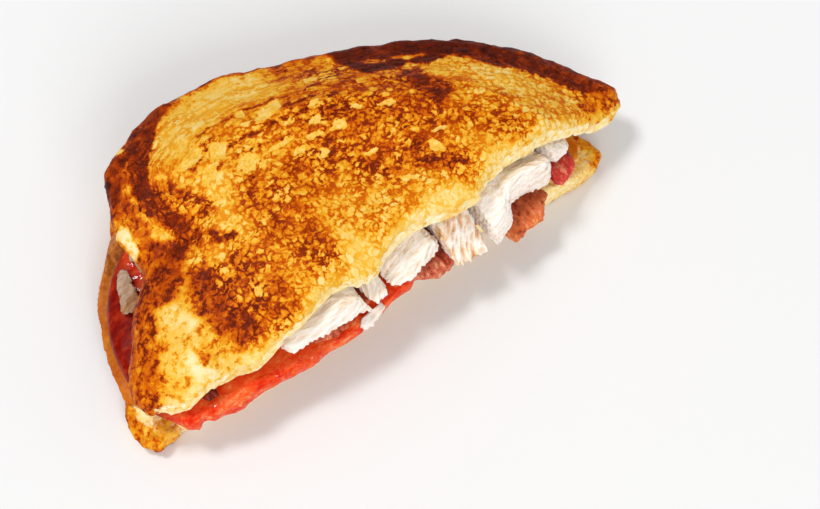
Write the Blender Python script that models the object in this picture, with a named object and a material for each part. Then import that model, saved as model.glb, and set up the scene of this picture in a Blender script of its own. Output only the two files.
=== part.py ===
"""Half of a toasted chicken, bacon, tomato and cheese sandwich, cut across on the diagonal.

Two slices of a farmhouse loaf hold, from the bottom up, a sheet of melted cheese, one broad tomato
slice, crisp bacon rashers and torn chicken breast. X runs along the cut, +Y into the sandwich towards the
domed crust, and Z is up from the face that it rests on. The sizes below are in millimetres, and
add_piece turns them into Blender's metres.
"""

import math

import bpy
import numpy as np
from mathutils import Vector, noise

MM = 0.001
GAP = 0.4               # air left between touching layers
CHEESE_THICK = 1.5
TOMATO_THICK = 5.8
BACON_THICK = 2.2
BACON_WAVE = 1.3        # height of the waves at the rashers' free ends
LOWER_BREAD_THICK = 9.5
UPPER_BREAD_THICK = 10.0
RIM_THINNING = 1.0      # each slice is this much thinner at its crust
CUT_DROOP = 3.0         # the toasted face bends down by this much along the cut
CUT_DROOP_REACH = 8.0
CUT_ROUNDING = 3.0      # the knife pressed the upper slice's cut edge round, and the lower one's less
LOWER_CUT_ROUNDING = 7.0
CUT_EDGE_LEVEL = 0.3    # the upper slice's cut stands out furthest this far up its thickness
LIP_MIDDLE, LIP_WIDTH, LIP_DEPTH = -11.5, 5.5, 2.2  # a lip of the upper slice hangs down here at the cut

# Plan of the upper slice: point A of the cut, the side wall, the shoulder where the loaf's
# top bulges over the tin, the dome, point B, and back along the slightly wavy cut.
UPPER_CRUST = [
    (-73.8, 4.6), (-75.4, 9.4), (-73.4, 14.4), (-68.2, 20.6), (-62.8, 27.2), (-57.6, 32.0), (-54.6, 34.6),
    (-54.8, 39.4), (-55.2, 45.4), (-53.6, 50.6), (-51.6, 55.0), (-49.4, 60.2), (-46.0, 64.2), (-36.4, 69.4),
    (-25.0, 72.0), (-8.6, 70.8), (4.0, 66.0), (20.4, 59.4), (37.4, 51.2), (51.6, 41.6), (65.0, 29.4),
    (72.4, 19.4), (76.8, 12.6), (78.6, 7.6), (74.6, 3.1),
]
UPPER_CUT = [
    (63.0, 2.8), (49.0, 3.2), (42.0, 3.0), (36.0, 2.8), (30.0, 2.0), (24.5, -1.2), (17.0, -0.9), (11.0, 0.4),
    (4.0, 1.6), (-2.0, 1.0), (-6.4, -1.0), (-10.0, -2.8), (-14.2, -2.4), (-18.6, -0.2), (-24.0, -0.6),
    (-31.0, -1.9), (-37.0, -2.9), (-43.0, -2.6), (-48.4, -2.5), (-51.4, -1.0), (-56.0, -0.4), (-59.0, 0.4),
    (-62.4, -0.8), (-66.4, 0.2), (-70.4, 2.6),
]
# The lower slice lies a little further towards point A, and its cut stays behind the filling's.
LOWER_CRUST = [
    (-75.6, 0.6), (-78.2, 7.4), (-77.0, 13.6), (-71.6, 21.0), (-65.4, 27.6), (-61.0, 32.0), (-59.4, 37.0),
    (-59.2, 44.0), (-56.6, 50.6), (-52.4, 56.4), (-48.0, 61.8), (-39.4, 67.0), (-28.0, 69.4),
    (-12.0, 67.6), (2.0, 63.0), (18.0, 55.6), (32.0, 47.2), (44.0, 37.4), (56.0, 24.6), (63.0, 13.6),
    (67.8, 4.0), (67.6, -0.6), (63.6, -2.8),
]
LOWER_CUT = [
    (54.0, -2.9), (46.0, -2.2), (38.0, -0.2), (28.0, 1.4), (10.0, 2.0), (-10.0, 1.8), (-30.0, 1.6), (-50.0, 1.2),
    (-62.0, 1.8), (-69.4, 1.2),
]
# The cheese sheet bridges the lower slice's notch and hangs over its side.
CHEESE_PLAN = [
    (-73.0, 11.2), (-75.0, 15.6), (-74.4, 21.0), (-72.6, 27.6), (-69.6, 35.0), (-65.8, 42.0),
    (-61.4, 46.8), (-57.6, 50.0), (-51.0, 55.6), (-39.6, 62.8), (-26.0, 66.6), (-10.0, 65.4), (4.0, 59.4),
    (18.0, 53.4), (33.0, 44.4), (46.0, 33.0), (56.0, 21.0), (62.0, 10.4), (63.4, 4.0), (58.0, 0.6),
    (44.0, 1.6), (28.0, 0.8), (12.0, -0.4), (0.0, -3.0), (-16.0, -4.6), (-36.0, -4.4), (-54.0, -1.5),
    (-60.8, 2.3), (-68.2, 7.6),
]
TOMATO_CENTRE = (-33.2, 13.4)
TOMATO_RADIUS = 40.0
# The slice is cut too, and its ragged edge, from point A to its right end, stands out of the bread.
TOMATO_CUT = [
    (-67.6, -1.6), (-66.4, -3.2), (-64.9, -3.4), (-63.4, -2.2), (-60.6, -4.8), (-57.4, -4.7), (-54.8, -6.4),
    (-51.0, -5.6), (-45.4, -5.7), (-39.0, -6.4), (-32.4, -7.4), (-27.4, -6.8), (-21.0, -7.3), (-14.0, -6.6),
    (-7.0, -5.2),
]
TOMATO_CORNER_Y = 8.0   # its corner under point A is squashed off from here to the cut
TOMATO_SHOULDER = 13.0  # what lies over its rim comes down over this length

# Each rasher and each piece of chicken lies front to back. Its plan is a front edge at the cut and a
# back edge near the crust, both from left to right, and the phase sets where a rasher's waves start.
RASHERS = {
    "bacon_left": {
        "front": [(-31.5, -3.6), (-28.6, -5.6), (-26.8, -6.8), (-24.6, -6.2), (-23.2, -7.8), (-21.4, -7.2),
                  (-19.0, -5.0), (-15.4, -3.6), (-12.0, -4.4)],
        "back": [(-34.0, 46.0), (-24.0, 50.0), (-13.0, 49.0)],
        "phase": 0.4},
    "bacon_middle": {
        "front": [(-5.0, -4.0), (0.8, -4.6), (2.4, -6.6), (3.6, -8.4), (7.6, -8.0), (11.0, -7.6), (14.0, -6.2)],
        "back": [(-7.0, 54.0), (2.0, 56.0), (11.0, 52.0)],
        "phase": 2.1},
    "bacon_right": {
        "front": [(29.0, -7.2), (30.2, -10.8), (32.2, -9.6), (35.0, -9.4), (38.0, -10.2), (40.2, -9.4),
                  (42.4, -8.6), (42.6, -6.4), (45.4, -4.4)],
        "back": [(24.0, 47.0), (32.0, 43.0), (38.4, 38.6)],
        "phase": 4.0},
    "bacon_point_b": {
        "front": [(48.6, -2.6), (49.6, -4.6), (52.6, -3.6), (55.2, -2.4), (58.2, -0.6)],
        "back": [(49.4, 24.0), (53.4, 21.0), (57.4, 16.0)],
        "phase": 5.2},
    "bacon_point_a": {
        "front": [(-61.0, -0.6), (-59.2, -2.2), (-56.8, -1.0)],
        "back": [(-60.8, 3.4), (-58.6, 3.8), (-56.4, 3.4)],
        "phase": 1.0},
}
# The chicken's top follows the bread, stands up by bulge in front of the bread's cut edge, and slopes
# down in front of the plan line y = slope_from, by slope millimetres for each millimetre, to no less
# than its thinnest.
CHICKEN = {
    "chicken_notch": {
        "front": [(-57.4, 9.0), (-54.0, 8.6), (-47.0, 8.4)],
        "back": [(-53.6, 43.6), (-51.0, 47.6), (-47.0, 52.0)],
        "bulge": 0.0, "slope_from": -20.0, "slope": 0.0, "thinnest": 1.6},
    "chicken_scraps": {
        "front": [(-64.0, 31.2), (-61.4, 30.2), (-58.4, 31.4)],
        "back": [(-60.6, 40.2), (-58.0, 42.0), (-55.6, 40.6)],
        "bulge": 0.0, "slope_from": -20.0, "slope": 0.0, "thinnest": 1.6},
    "chicken_long_slice": {
        "front": [(-37.8, -2.2), (-37.4, -3.8), (-36.6, -5.2), (-35.2, -5.9), (-32.4, -5.4),
                  (-30.2, -4.9), (-28.4, -6.2), (-26.8, -4.9), (-23.4, -5.8), (-20.6, -6.3), (-17.0, -6.4),
                  (-13.6, -7.4)],
        "back": [(-45.6, 55.0), (-34.0, 60.0), (-22.0, 62.0), (-15.6, 61.6)],
        "bulge": 1.2, "slope_from": -3.4, "slope": 0.9, "thinnest": 2.0},
    "chicken_claw": {
        "front": [(-13.0, -4.8), (-12.6, -6.8), (-11.2, -5.4), (-10.0, -7.4), (-8.6, -6.4), (-7.4, -3.4)],
        "back": [(-14.6, 61.4), (-11.0, 61.4), (-8.4, 61.0)],
        "bulge": 0.0, "slope_from": -2.0, "slope": 1.6, "thinnest": 2.0},
    "chicken_chunk": {
        "front": [(-6.2, -3.4), (-5.4, -5.6), (-3.2, -5.8), (-1.4, -7.2), (0.4, -6.2), (3.0, -5.7), (5.6, -4.9),
                  (8.4, -3.9), (10.6, -2.4)],
        "back": [(-7.2, 61.0), (2.0, 58.4), (9.4, 56.0)],
        "bulge": 1.6, "slope_from": 0.2, "slope": 1.1, "thinnest": 2.4},
    "chicken_shreds": {
        "front": [(12.0, -3.2), (11.8, -6.4), (12.6, -8.4), (14.0, -7.4), (16.8, -8.0), (19.0, -9.4),
                  (21.0, -10.2), (21.8, -7.8), (22.6, -4.6)],
        "back": [(11.4, 55.2), (16.6, 53.8), (22.4, 51.0)],
        "bulge": 0.0, "slope_from": 0.4, "slope": 1.1, "thinnest": 2.4},
    "chicken_torn_slice": {
        "front": [(24.0, -6.6), (24.6, -10.8), (26.4, -9.8), (28.6, -9.0), (30.2, -6.8), (30.8, -4.4),
                  (32.4, -2.4), (37.0, -2.0), (40.4, -2.8), (42.4, -5.0), (44.8, -4.0), (48.4, -1.6)],
        "back": [(23.2, 50.4), (34.0, 44.6), (43.6, 36.6)],
        "bulge": 3.2, "slope_from": -1.4, "slope": 1.1, "thinnest": 2.4},
    "chicken_point_b": {
        "front": [(49.6, 0.8), (51.6, 0.4), (54.0, 0.6), (56.6, 1.4), (58.4, 3.0)],
        "back": [(45.6, 34.6), (52.4, 28.0), (58.6, 19.6)],
        "bulge": 1.2, "slope_from": 1.8, "slope": 0.6, "thinnest": 1.8},
}
FLAKE = {
    "front": [(-18.0, -7.4), (-16.4, -8.2), (-14.4, -9.0), (-12.2, -8.0), (-9.6, -6.8)],
    "back": [(-16.4, -5.6), (-13.4, -5.2), (-9.2, -4.6)],
}
FLAKE_THICK = 1.3
FLAKE_BENDS_AT = -6.2   # it droops in front of this line, over the tomato's cut edge
UPPER_CRUST_LINE = np.array(UPPER_CRUST)
LOWER_CRUST_LINE = np.array(LOWER_CRUST)
SAG_RATE, SAG_MOST = 0.045, 2.0     # of the cheese outside the lower slice, by its distance squared
CHEESE_ROLL = 3.4       # height of the roll where the sheet folded back at the notch
CHEESE_ROLL_LINE = np.array([(-52.0, 51.0), (-57.0, 46.4), (-62.0, 41.6), (-66.2, 35.0)])
SHOULDER_FOLD_LINE = np.array([(-60.0, 30.0), (-50.0, 35.5), (-38.0, 36.5)])

# How far the slices stand apart: along the cut and the middle of the filling, and round the crust.
MIDDLE_SPREAD = [(-76, 4.0), (-66, 9.6), (-60, 11.8), (-51, 12.0), (-44, 14.0), (-38, 16.6),
                 (-25, 18.5), (30, 18.0), (50, 15.0), (58, 11.4), (64, 8.0), (76, 2.6)]
CRUST_SPREAD = [(-77, 8.6), (-70, 9.6), (-62, 12.2), (-50, 11.4), (-20, 8.6), (40, 8.6), (56, 8.0),
                (64, 6.0), (76, 2.4)]
SPREAD_REACH = 25.0     # the filling is at its full height this far in from the crust
# How far the upper slice is pressed down at the cut, on to the tomato, and how deep in that reaches.
PRESS = [(-72.0, 0.0), (-67.0, 2.2), (-62.6, 2.4), (-60.4, 0.9), (-56.8, 0.9), (-54.4, 2.5), (-50.0, 2.9),
         (-46.0, 3.8), (-43.6, 4.4), (-41.8, 4.2), (-40.2, 2.0), (-38.8, 0.0)]
PRESS_REACH = 8.0

BREAD_POINTS = 78       # round each slice
CHEESE_POINTS = 64
TOMATO_POINTS = 84
BREAD_RINGS = (0.24, 0.44, 0.6, 0.72, 0.82, 0.89, 0.95, 0.985)  # shares of the plan, inside out
LAYER_RINGS = (0.25, 0.45, 0.62, 0.77, 0.88, 0.95, 0.985)
CUT_SIDE_Y = 3.5        # rim points nearer than this belong to the cut
MEAT_STEP = 5.6         # widest spacing of points across a piece of meat


def smoothstep(t):
    t = np.clip(t, 0.0, 1.0)
    return t * t * (3.0 - 2.0 * t)


def smooth_loop(points, count):
    """count points, evenly spaced along the closed Catmull-Rom curve through these points."""
    p = np.array(points, float)
    before, after, beyond = np.roll(p, 1, 0), np.roll(p, -1, 0), np.roll(p, -2, 0)
    dense = []
    for t in np.linspace(0.0, 1.0, 16, endpoint=False):
        dense.append(0.5 * (2.0 * p + (after - before) * t
                            + (2.0 * before - 5.0 * p + 4.0 * after - beyond) * t ** 2
                            + (3.0 * p - before - 3.0 * after + beyond) * t ** 3))
    curve = np.stack(dense, 1).reshape(-1, 2)
    closed = np.vstack([curve, curve[:1]])
    along = np.concatenate([[0.0], np.cumsum(np.linalg.norm(np.diff(closed, axis=0), axis=1))])
    stations = np.linspace(0.0, along[-1], count, endpoint=False)
    return np.stack([np.interp(stations, along, closed[:, i]) for i in range(2)], 1)


def wobble(points, size, scale, seed):
    """Smooth noise of this size, in millimetres, at plan points; scale is the width of a bump."""
    return np.array([noise.noise(Vector((x / scale, y / scale, seed))) * size for x, y in points])


def roughened(loop, size, scale, seed):
    """The loop with each point pushed in or out along its normal by smooth noise."""
    along = np.roll(loop, -1, 0) - np.roll(loop, 1, 0)
    outward = np.stack([-along[:, 1], along[:, 0]], 1) / np.linalg.norm(along, axis=1)[:, None]
    return loop + outward * wobble(loop, size, scale, seed)[:, None]


def distance_to(line, x, y):
    """Distance of each plan point from an open line of points."""
    here = np.stack([x, y], -1)[..., None, :]
    start, step = line[:-1], np.diff(line, axis=0)
    share = np.clip(((here - start) * step).sum(-1) / (step ** 2).sum(-1), 0.0, 1.0)
    return np.linalg.norm(here - (start + share[..., None] * step), axis=-1).min(-1)


def along_x(pairs, x):
    return np.interp(x, *zip(*pairs))


def lower_bread_top(x, y):
    """Height of the lower slice's upper face. It is squashed thinner at both points and at the crust."""
    thin = 3.0 * smoothstep((-x - 52.0) / 24.0) + 1.2 * smoothstep((x - 46.0) / 20.0)
    rim = RIM_THINNING * (1.0 - smoothstep(distance_to(LOWER_CRUST_LINE, x, y) / 16.0))
    return LOWER_BREAD_THICK - thin - rim


def distance_outside(line, x, y):
    """Distance of each plan point out over the side of this outline's crust, and 0 on the bread."""
    start, end = line[:-1], line[1:]
    px, py = x[..., None], y[..., None]
    spans = (start[:, 1] > py) != (end[:, 1] > py)
    rise = np.where(end[:, 1] == start[:, 1], 1.0, end[:, 1] - start[:, 1])
    left_of = px < start[:, 0] + (end[:, 0] - start[:, 0]) * (py - start[:, 1]) / rise
    inside = (spans & left_of).sum(-1) % 2 == 1
    return np.where(inside | (y < line[0, 1]), 0.0, distance_to(line, x, y))


def cheese_sag(x, y):
    """How far the cheese drops where it hangs out over the notch of the lower slice."""
    return np.minimum(SAG_RATE * distance_outside(LOWER_CRUST_LINE, x, y) ** 2, SAG_MOST)


def over_cheese(x, y):
    return lower_bread_top(x, y) + GAP + CHEESE_THICK - cheese_sag(x, y)


def cheese_top(x, y):
    """The sheet's upper face, with the thick roll where it folded back at the notch beside the tomato."""
    roll = CHEESE_ROLL * np.exp(-(distance_to(CHEESE_ROLL_LINE, x, y) / 2.6) ** 2)
    clear = smoothstep((np.hypot(x - TOMATO_CENTRE[0], y - TOMATO_CENTRE[1]) - TOMATO_RADIUS - 1.1) / 1.6)
    return over_cheese(x, y) + roll * clear


def over_tomato(x, y):
    """Height that rests on the tomato, and comes down to the cheese round its rim."""
    from_centre = np.hypot(x - TOMATO_CENTRE[0], y - TOMATO_CENTRE[1])
    on_slice = 1.0 - smoothstep((from_centre - TOMATO_RADIUS - 1.0) / TOMATO_SHOULDER)
    return over_cheese(x, y) + (GAP + TOMATO_THICK) * on_slice


def over_bacon(x, y):
    """Height that rests on the rashers, which start right of the notch and whose ends wave at the cut."""
    covered = smoothstep((x + 43.0) / 6.0)
    waves = BACON_WAVE * smoothstep((1.0 - y) / 5.0)
    return over_tomato(x, y) + (GAP + BACON_THICK + waves) * covered


def upper_bread_under(x, y):
    """Height of the upper slice's lower face, which domes over the filling."""
    inward = smoothstep(distance_to(UPPER_CRUST_LINE, x, y) / SPREAD_REACH)
    crust, middle = along_x(CRUST_SPREAD, x), along_x(MIDDLE_SPREAD, x)
    point_a = 5.5 * smoothstep((-x - 67.0) / 6.0) * (1.0 - smoothstep((y - 1.0) / 4.5))
    lip = LIP_DEPTH * np.exp(-((x - LIP_MIDDLE) / LIP_WIDTH) ** 2) * (1.0 - smoothstep((y + 1.5) / 7.0))
    press = along_x(PRESS, x) * (1.0 - smoothstep((y - 1.0) / PRESS_REACH))
    spread = crust + (np.maximum(middle, crust) - crust) * inward
    return lower_bread_top(x, y) + spread - point_a - lip - press


def in_front_of_cut(x, y):
    """0 under the upper slice, and up to 1 where a piece of filling stands clear of its cut edge."""
    cut = np.interp(x, *zip(*UPPER_CUT[::-1]))
    return smoothstep((cut - 0.6 - y) / 2.4)


def upper_bread_top(x, y):
    """Height of the toasted face: a low dome with dents, a fold at the shoulder and a drooping cut."""
    inward = smoothstep(distance_to(UPPER_CRUST_LINE, x, y) / 14.0)
    thick = UPPER_BREAD_THICK - RIM_THINNING * (1.0 - inward)
    droop = CUT_DROOP * (1.0 - smoothstep((y + 1.0) / CUT_DROOP_REACH))
    fold = 1.5 * np.exp(-(distance_to(SHOULDER_FOLD_LINE, x, y) / 3.4) ** 2)
    dents = 0.45 * np.sin(x / 9.0 + 1.3) * np.cos(y / 8.0 + 0.4 + x / 31.0)
    return upper_bread_under(x, y) + thick - droop - fold + dents


def add_piece(name, points, faces, colour, roughness):
    """A closed mesh object of its own material, from points in millimetres."""
    mesh = bpy.data.meshes.new(name)
    mesh.from_pydata((np.array(points) * MM).tolist(), [], faces)
    mesh.validate()
    mesh.update()
    mesh.shade_smooth()
    material = bpy.data.materials.new(name)
    material.use_nodes = True
    surface = material.node_tree.nodes["Principled BSDF"]
    surface.inputs["Base Color"].default_value = (*colour, 1.0)
    surface.inputs["Roughness"].default_value = roughness
    surface.inputs["Metallic"].default_value = 0.0
    mesh.materials.append(material)
    piece = bpy.data.objects.new(name, mesh)
    bpy.context.scene.collection.objects.link(piece)
    return piece


def round_slab(loop, centre, under, over, rings, rounding_start, squareness, level=0.5):
    """Points and faces of a closed layer between two height functions, with its rim rounded.

    The loop runs clockwise seen from above, and is drawn in towards the centre for each ring. rings are
    shares of the full plan from the inside out, and the rim is rounded beyond rounding_start.
    squareness is one number, or one for each point: 2 rounds the rim fully, and 8 leaves a wall. level
    is the share of the thickness at which the rim stands out furthest, also as one number or more.
    """
    count = len(loop)
    middle = np.array(centre, float)
    power = np.broadcast_to(np.asarray(squareness, float), (count,))
    rim_level = np.broadcast_to(np.asarray(level, float), (count,))
    points = []
    for side in (1.0, -1.0):
        for share in (0.0, *rings):
            plan = middle + (loop - middle) * share
            if share == 0.0:
                plan = plan[:1]
            low, high = under(plan[:, 0], plan[:, 1]), over(plan[:, 0], plan[:, 1])
            out = max(0.0, (share - rounding_start) / (1.0 - rounding_start))
            full = (1.0 - out ** power[:len(plan)]) ** (1.0 / power[:len(plan)])
            middle_height = low + rim_level[:len(plan)] * (high - low)
            face = high if side > 0.0 else low
            points.extend(zip(plan[:, 0], plan[:, 1], middle_height + full * (face - middle_height)))
    low, high = under(loop[:, 0], loop[:, 1]), over(loop[:, 0], loop[:, 1])
    points.extend(zip(loop[:, 0], loop[:, 1], low + rim_level * (high - low)))

    per_side = 1 + count * len(rings)
    rim = [2 * per_side + i for i in range(count)]
    faces = []
    for side in range(2):
        first = side * per_side
        loops = [[first + 1 + ring * count + i for i in range(count)] for ring in range(len(rings))]
        loops.append(rim)
        turn = 1 if side == 0 else -1
        for i in range(count):
            j = (i + 1) % count
            faces.append((first, loops[0][j], loops[0][i])[::turn])
            faces.extend((a[i], a[j], b[j], b[i])[::turn] for a, b in zip(loops, loops[1:]))
    return points, faces


def stations(length):
    """Shares along a length: close together at both ends, where the piece is rounded."""
    near = min(2.6, length / 4.0)
    inner = np.linspace(near, length - near, max(2, math.ceil((length - 2.0 * near) / MEAT_STEP) + 1))
    return np.concatenate([[0.0, near / 3.0], inner, [length - near / 3.0, length]]) / length


def across(profile, shares):
    """Points of an open polyline at these shares of its length."""
    line = np.array(profile, float)
    along = np.concatenate([[0.0], np.cumsum(np.linalg.norm(np.diff(line, axis=0), axis=1))])
    return np.stack([np.interp(shares * along[-1], along, line[:, i]) for i in range(2)], 1)


def strip_slab(front, back, under, over, edge, ragged, seed):
    """Points and faces of a closed strip of meat that runs from its front edge to its back edge.

    front and back are polylines from left to right, seen from above with the cut nearest. The rim is
    rounded over the distance edge, and pushed about by smooth noise of the size ragged.
    """
    front, back = np.array(front, float), np.array(back, float)
    width = np.linalg.norm(front[-1] - front[0])
    depth = np.linalg.norm(back.mean(0) - front.mean(0))
    wide, deep = stations(width), stations(depth)
    near, far = across(front, wide), across(back, wide)
    plan = near[None] * (1.0 - deep[:, None, None]) + far[None] * deep[:, None, None]
    rows, columns = len(deep), len(wide)
    rounding = np.ones((rows, columns))
    for shares, length, shape in ((wide, width, (1, columns)), (deep, depth, (rows, 1))):
        inset = np.minimum(np.minimum(shares, 1.0 - shares) * length / edge, 1.0).reshape(shape)
        rounding = rounding * (1.0 - (1.0 - inset) ** 2.4) ** (1.0 / 2.4)
    flat = plan.reshape(-1, 2)
    loose = (1.0 - rounding.reshape(-1, 1)) * ragged
    flat = flat + loose * np.stack([wobble(flat, 1.6, 3.1, seed), wobble(flat, 1.6, 3.1, seed + 40.0)], 1)
    x, y = flat[:, 0], flat[:, 1]
    low, high = under(x, y), over(x, y)
    middle, half = (low + high) / 2.0, rounding.reshape(-1) * (high - low) / 2.0

    points = [*zip(x, y, middle + half)]
    lower_index = {}
    for i in range(rows):
        for j in range(columns):
            at = i * columns + j
            if 0 < i < rows - 1 and 0 < j < columns - 1:
                lower_index[at] = len(points)
                points.append((x[at], y[at], middle[at] - half[at]))
            else:
                lower_index[at] = at
    faces = []
    for i in range(rows - 1):
        for j in range(columns - 1):
            a = i * columns + j
            quad = (a, a + 1, a + 1 + columns, a + columns)
            faces.append(quad)
            faces.append(tuple(lower_index[q] for q in quad[::-1]))
    return points, faces


def make_slice(name, outline, centre, under, over, roughness, seed, colour, cut_rounding, cut_level):
    """One slice of bread. Its crust side is round, and the cut is an edge of torn crumb."""
    loop = roughened(smooth_loop(outline, BREAD_POINTS), roughness, 6.0, seed)
    squareness = np.where(loop[:, 1] < CUT_SIDE_Y, cut_rounding, 2.6)
    level = np.where(loop[:, 1] < CUT_SIDE_Y, cut_level, 0.5)
    points, faces = round_slab(loop, centre, under, over, BREAD_RINGS, 0.88, squareness, level)
    add_piece(name, points, faces, colour, 0.6)


def make_bread():
    make_slice("bread_upper", UPPER_CRUST + UPPER_CUT, (-2.0, 29.0), upper_bread_under, upper_bread_top,
               0.9, 3.1, (0.80, 0.45, 0.12), CUT_ROUNDING, CUT_EDGE_LEVEL)
    make_slice("bread_lower", LOWER_CRUST + LOWER_CUT, (-6.0, 28.0), lambda x, y: 0.0 * x,
               lower_bread_top, 0.7, 9.7, (0.72, 0.36, 0.08), LOWER_CUT_ROUNDING, 0.5)


def make_cheese():
    """One sheet of melted cheddar over the lower slice, hanging out over its notched side."""
    def under(x, y):
        return lower_bread_top(x, y) + GAP - cheese_sag(x, y)

    loop = roughened(smooth_loop(CHEESE_PLAN, CHEESE_POINTS), 0.5, 7.0, 5.5)
    points, faces = round_slab(loop, (-8.0, 28.0), under, cheese_top, LAYER_RINGS, 0.95, 2.0)
    add_piece("cheese_slice", points, faces, (0.86, 0.40, 0.05), 0.35)


def tomato_plan():
    """Clockwise outline of the tomato slice: the long arc of its skin, then its ragged cut edge."""
    cx, cy = TOMATO_CENTRE
    start = math.pi - math.asin((TOMATO_CORNER_Y - cy) / TOMATO_RADIUS)
    end = 2.0 * math.pi + math.asin((TOMATO_CUT[-1][1] + 1.0 - cy) / TOMATO_RADIUS)
    skin = []
    for turn in np.linspace(start, end - 2.0 * math.pi, 26):
        lobes = TOMATO_RADIUS + 0.5 * math.cos(5.0 * turn) - 0.3
        skin.append((cx + lobes * math.cos(turn), cy + lobes * math.sin(turn)))
    return skin + TOMATO_CUT[::-1] + [(skin[0][0] + 3.4, TOMATO_CORNER_Y - 6.8)]


def make_tomato():
    """One broad slice across most of the half, cut with it, its skin on the rim."""
    def under(x, y):
        return over_cheese(x, y) + GAP

    def over(x, y):
        return under(x, y) + TOMATO_THICK

    loop = smooth_loop(tomato_plan(), TOMATO_POINTS)
    points, faces = round_slab(loop, TOMATO_CENTRE, under, over, LAYER_RINGS, 0.9, 3.0)
    add_piece("tomato_slice", points, faces, (0.78, 0.09, 0.03), 0.25)


def make_bacon():
    """Rashers laid over the tomato and the cheese. Their ends wave where they come out of the cut."""
    for number, (name, rasher) in enumerate(RASHERS.items()):
        phase = rasher["phase"]

        def under(x, y):
            free = BACON_WAVE / 2.0 * smoothstep((1.0 - y) / 5.0)
            wave = 1.0 + np.sin(x / 2.3 + phase) * np.cos(y / 2.9 + phase)
            return over_tomato(x, y) + GAP + free * wave

        def over(x, y):
            return np.minimum(under(x, y) + BACON_THICK, upper_bread_under(x, y) - 1.6 * GAP)

        points, faces = strip_slab(rasher["front"], rasher["back"], under, over, 1.6, 0.5, 11.0 + number)
        add_piece(name, points, faces, (0.50, 0.14, 0.08), 0.35)


def make_chicken():
    """Slices and torn pieces of grilled breast, side by side from the cut to the crust."""
    colour = (0.80, 0.62, 0.46)

    def under(x, y):
        return over_bacon(x, y) + 1.6 * GAP

    for number, (name, strip) in enumerate(CHICKEN.items()):

        def over(x, y):
            rise = strip["bulge"] * in_front_of_cut(x, y)
            fall = strip["slope"] * np.maximum(0.0, strip["slope_from"] - y)
            top = upper_bread_under(x, y) - 2.9 * GAP + rise - fall
            return np.maximum(top, under(x, y) + strip["thinnest"])

        points, faces = strip_slab(strip["front"], strip["back"], under, over, 3.0, 0.8, 21.0 + number)
        add_piece(name, points, faces, colour, 0.5)

    def flake_under(x, y):
        """A thin flake beside the long slice lies on the tomato, and droops over its cut edge."""
        return over_tomato(x, y) + GAP - 0.7 * np.maximum(0.0, FLAKE_BENDS_AT - y)

    def flake_over(x, y):
        return flake_under(x, y) + FLAKE_THICK

    points, faces = strip_slab(FLAKE["front"], FLAKE["back"], flake_under, flake_over, 1.2, 0.3, 31.0)
    add_piece("chicken_flake", points, faces, colour, 0.5)


def stand_on_origin():
    """Moves every piece so that the whole stands on the middle of its footprint."""
    corners = np.array([list(vertex.co) for piece in bpy.data.objects for vertex in piece.data.vertices])
    low, high = corners.min(0), corners.max(0)
    shift = Vector((-(low[0] + high[0]) / 2.0, -(low[1] + high[1]) / 2.0, -low[2]))
    for piece in bpy.data.objects:
        for vertex in piece.data.vertices:
            vertex.co += shift


def main():
    for old in list(bpy.data.objects):
        bpy.data.objects.remove(old)
    make_bread()
    make_cheese()
    make_tomato()
    make_bacon()
    make_chicken()
    stand_on_origin()


main()
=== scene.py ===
"""The looks of half a toasted sandwich: two slices of farmhouse bread, melted cheese, tomato, bacon, chicken.

It follows the sandwich as it is put together, from the table up. Positions are in millimetres: X along
the cut from point A to point B, +Y in from the cut to the domed crust, Z up from the table.
"""
import math

import bpy
import numpy as np
from mathutils import Matrix, Vector, noise


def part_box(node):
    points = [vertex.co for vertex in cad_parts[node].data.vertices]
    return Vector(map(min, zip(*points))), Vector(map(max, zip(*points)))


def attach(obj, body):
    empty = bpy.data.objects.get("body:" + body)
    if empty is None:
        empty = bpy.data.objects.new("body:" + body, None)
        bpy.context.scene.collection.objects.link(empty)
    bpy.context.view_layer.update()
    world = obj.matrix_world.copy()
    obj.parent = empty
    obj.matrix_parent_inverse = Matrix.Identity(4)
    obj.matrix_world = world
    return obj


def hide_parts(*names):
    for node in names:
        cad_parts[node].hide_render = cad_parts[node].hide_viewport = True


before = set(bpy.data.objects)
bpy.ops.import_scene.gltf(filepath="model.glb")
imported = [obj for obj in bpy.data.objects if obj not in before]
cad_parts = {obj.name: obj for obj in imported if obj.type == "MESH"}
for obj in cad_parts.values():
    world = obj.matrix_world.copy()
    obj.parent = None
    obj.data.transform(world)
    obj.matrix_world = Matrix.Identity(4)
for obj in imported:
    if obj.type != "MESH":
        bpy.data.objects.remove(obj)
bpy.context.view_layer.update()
MM = 0.001              # a millimetre in metres, which Blender works in


# ---- The camera --------------------------------------------------------------------------------------
# It looks down over the cut from the left, as from a tripod above a table, through a long lens. The sandwich
# lies left of the picture's middle, so the camera is turned until POINT_SEEN shows at its own pixel.

PICTURE = (820, 509)
POINT_SEEN = Vector((-3.36, -14.1, 20.0)) * MM
POINT_SEEN_PIXEL = (351, 223)
CAMERA_AZIMUTH = math.radians(-36.3)
CAMERA_HEIGHT_ANGLE = math.radians(64.0)
CAMERA_DISTANCE = 0.62
FILM_WIDTH = 36.0
FOCAL_PIXELS = 2418.0

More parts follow.
